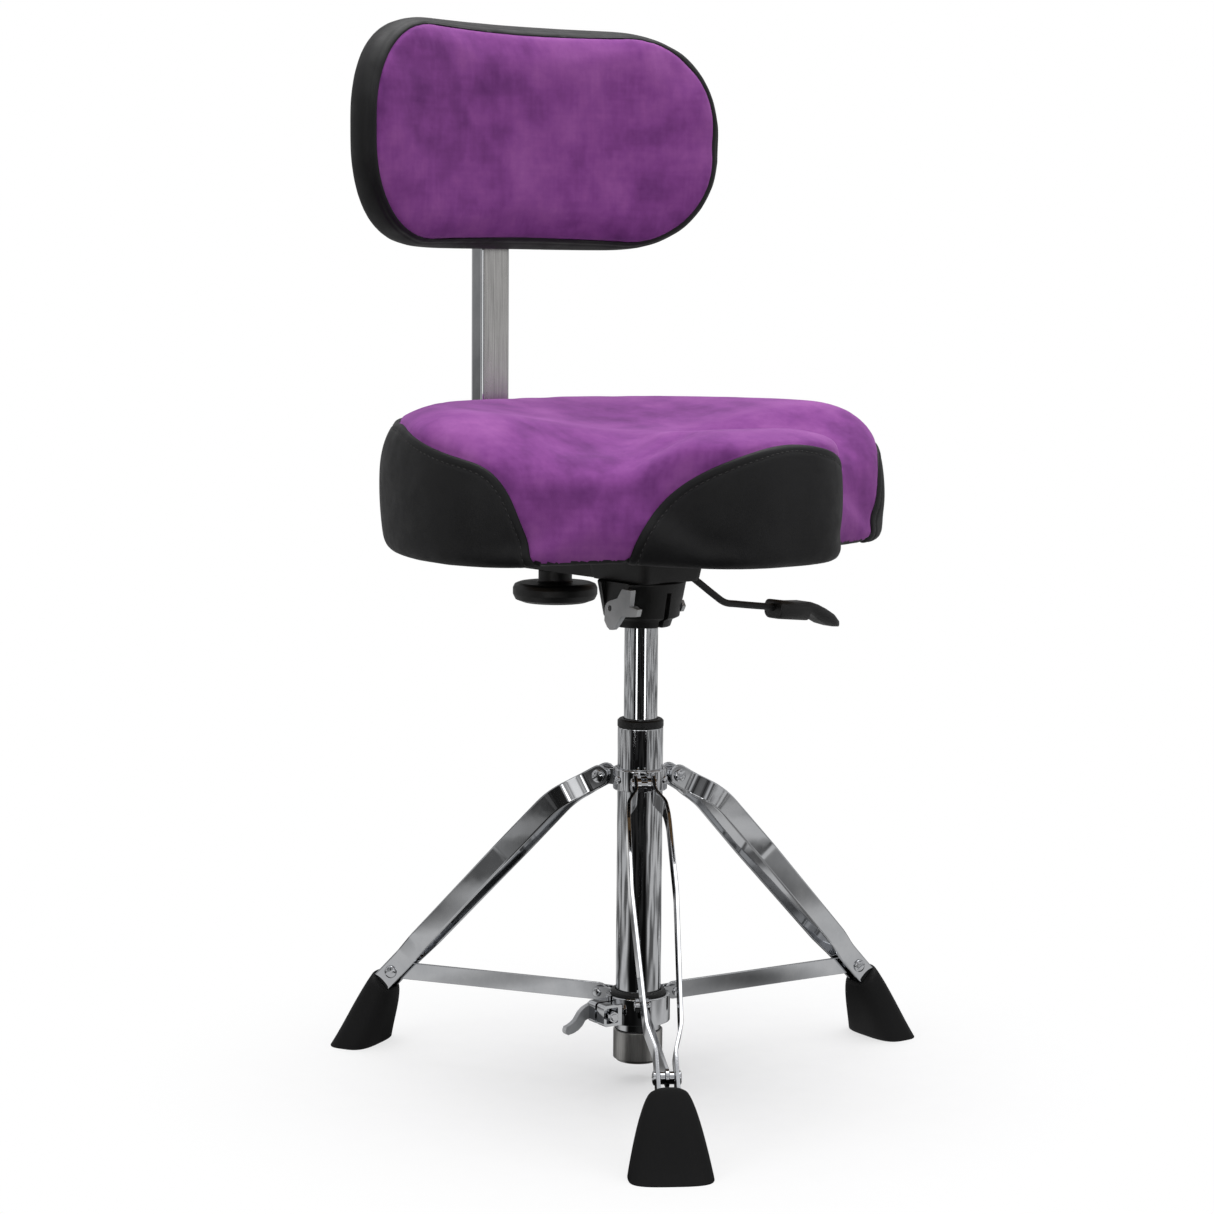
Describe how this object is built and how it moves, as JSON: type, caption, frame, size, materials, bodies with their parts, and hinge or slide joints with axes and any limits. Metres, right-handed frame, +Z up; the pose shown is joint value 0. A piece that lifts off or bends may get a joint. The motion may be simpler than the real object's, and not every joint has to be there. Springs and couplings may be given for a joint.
{
  "type": "drum throne",
  "caption": "Drum throne with a saddle seat and padded backrest on a gas-lift column and a folding tripod with rubber feet.",
  "frame": {"origin": "on the floor at the middle of the bounding box; the column axis stands at X -28.5 mm, Y -9.4 mm", "axes": "+Z up; the sitter faces -Y; +X is to the sitter's left"},
  "size_m": [0.5214, 0.5194, 0.888],
  "materials": {
    "chrome": "polished",
    "brushed_steel": "brushed",
    "zinc": "satin",
    "black_steel": "semi-matt black",
    "black_plastic": "satin black",
    "black_rubber": "matt black",
    "plywood": "raw plywood",
    "velvet": "purple velvet with black vinyl panels"
  },
  "bodies": {
    "column": {"column_tube": "chrome", "column_end_cap": "brushed_steel", "column_top_bush": "black_plastic", "upper_collar": "chrome", "upper_collar_screw_1": "chrome", "upper_collar_screw_2": "chrome", "upper_collar_screw_3": "chrome", "front_leg_hinge_pin": "chrome", "left_leg_hinge_pin": "chrome", "rear_leg_hinge_pin": "chrome"},
    "gas_rod": {"gas_lift_rod": "chrome", "gas_lift_clip": "brushed_steel"},
    "seat": {"gas_lift_cylinder": "chrome", "seat_hub": "black_plastic", "hub_stud": "zinc", "release_housing": "black_steel", "seat_plate": "black_steel", "seat_board": "plywood", "seat_screw_1": "black_steel", "seat_screw_2": "black_steel", "seat_screw_3": "black_steel", "seat_screw_4": "black_steel", "backrest_channel": "black_steel", "seat_cushion": "velvet"},
    "backrest": {"backrest_bar": "chrome", "backrest_screw_1": "chrome", "backrest_screw_2": "chrome", "back_cushion": "velvet", "back_board": "black_plastic"},
    "backrest_knob": {"backrest_knob": "black_plastic"},
    "height_lever": {"height_lever_rod": "black_steel", "height_lever_grip": "black_plastic"},
    "hub_lever": {"hub_lever": "zinc"},
    "lower_collar": {"lower_collar_band": "chrome", "lower_collar_bush": "black_plastic", "clamp_stud": "chrome", "front_leg_brace_rivet": "chrome", "left_leg_brace_rivet": "chrome", "rear_leg_brace_rivet": "chrome"},
    "clamp_lever": {"clamp_lever": "zinc"},
    "front_leg": {"front_leg_bar_right": "chrome", "front_leg_bar_left": "chrome", "front_leg_foot_bolt": "chrome", "front_leg_foot_nut": "chrome", "front_leg_foot": "black_rubber"},
    "front_leg_brace": {"front_leg_brace": "chrome"},
    "left_leg": {"left_leg_bar_right": "chrome", "left_leg_bar_left": "chrome", "left_leg_foot_bolt": "chrome", "left_leg_foot_nut": "chrome", "left_leg_foot": "black_rubber"},
    "left_leg_brace": {"left_leg_brace": "chrome"},
    "rear_leg": {"rear_leg_bar_right": "chrome", "rear_leg_bar_left": "chrome", "rear_leg_foot_bolt": "chrome", "rear_leg_foot_nut": "chrome", "rear_leg_foot": "black_rubber"},
    "rear_leg_brace": {"rear_leg_brace": "chrome"}
  },
  "joints": [
    {"name": "seat_swivel", "type": "hinge", "parent": "column", "child": "gas_rod", "pos_m": [-0.0285, -0.00943, 0.3], "axis": [0, 0, 1], "continuous": true},
    {"name": "seat_height", "type": "slide", "parent": "gas_rod", "child": "seat", "axis": [0, 0, 1], "range_m": [-0.06, 0.05]},
    {"name": "backrest_slide", "type": "slide", "parent": "seat", "child": "backrest", "axis": [0, 1, 0], "range_m": [-0.005, 0.045]},
    {"name": "backrest_knob_turn", "type": "hinge", "parent": "seat", "child": "backrest_knob", "pos_m": [-0.0285, 0.10657, 0.4045], "axis": [0, 0, 1], "continuous": true},
    {"name": "height_lever_lift", "type": "hinge", "parent": "seat", "child": "height_lever", "pos_m": [-0.014, -0.00943, 0.436], "axis": [0, -1, 0], "range_deg": [0, 6]},
    {"name": "hub_lever_turn", "type": "hinge", "parent": "seat", "child": "hub_lever", "pos_m": [-0.0605, -0.03043, 0.404], "axis": [1, 0, 0], "range_deg": [0, 90]},
    {"name": "collar_slide", "type": "slide", "parent": "column", "child": "lower_collar", "axis": [0, 0, 1], "range_m": [0, 0.1072]},
    {"name": "clamp_lever_turn", "type": "hinge", "parent": "lower_collar", "child": "clamp_lever", "pos_m": [-0.06321, 0.00835, 0.062], "axis": [-0.0785, -0.9969, 0], "range_deg": [-95, 0]},
    {"name": "front_leg_fold", "type": "hinge", "parent": "column", "child": "front_leg", "pos_m": [-0.0481, -0.03794, 0.2586], "axis": [0.8241, -0.5664, 0], "range_deg": [0, 36]},
    {"name": "front_leg_brace_fold", "type": "hinge", "parent": "lower_collar", "child": "front_leg_brace", "pos_m": [-0.04889, -0.0391, 0.072], "axis": [0.8241, -0.5664, 0], "range_deg": [0, 74.4]},
    {"name": "left_leg_fold", "type": "hinge", "parent": "column", "child": "left_leg", "pos_m": [0.00599, -0.01214, 0.2586], "axis": [0.0785, 0.9969, 0], "range_deg": [0, 36]},
    {"name": "left_leg_brace_fold", "type": "hinge", "parent": "lower_collar", "child": "left_leg_brace", "pos_m": [0.00739, -0.01225, 0.072], "axis": [0.0785, 0.9969, 0], "range_deg": [0, 74.4]},
    {"name": "rear_leg_fold", "type": "hinge", "parent": "column", "child": "rear_leg", "pos_m": [-0.0434, 0.0218, 0.2586], "axis": [-0.9026, -0.4305, 0], "range_deg": [0, 36]},
    {"name": "rear_leg_brace_fold", "type": "hinge", "parent": "lower_collar", "child": "rear_leg_brace", "pos_m": [-0.044, 0.02307, 0.072], "axis": [-0.9026, -0.4305, 0], "range_deg": [0, 74.4]}
  ],
  "couplings": [
    {"joint": "front_leg_fold", "follows": "collar_slide", "rad_per_m": 5.696},
    {"joint": "front_leg_brace_fold", "follows": "collar_slide", "rad_per_m": 11.944},
    {"joint": "left_leg_fold", "follows": "collar_slide", "rad_per_m": 5.696},
    {"joint": "left_leg_brace_fold", "follows": "collar_slide", "rad_per_m": 11.944},
    {"joint": "rear_leg_fold", "follows": "collar_slide", "rad_per_m": 5.696},
    {"joint": "rear_leg_brace_fold", "follows": "collar_slide", "rad_per_m": 11.944}
  ]
}
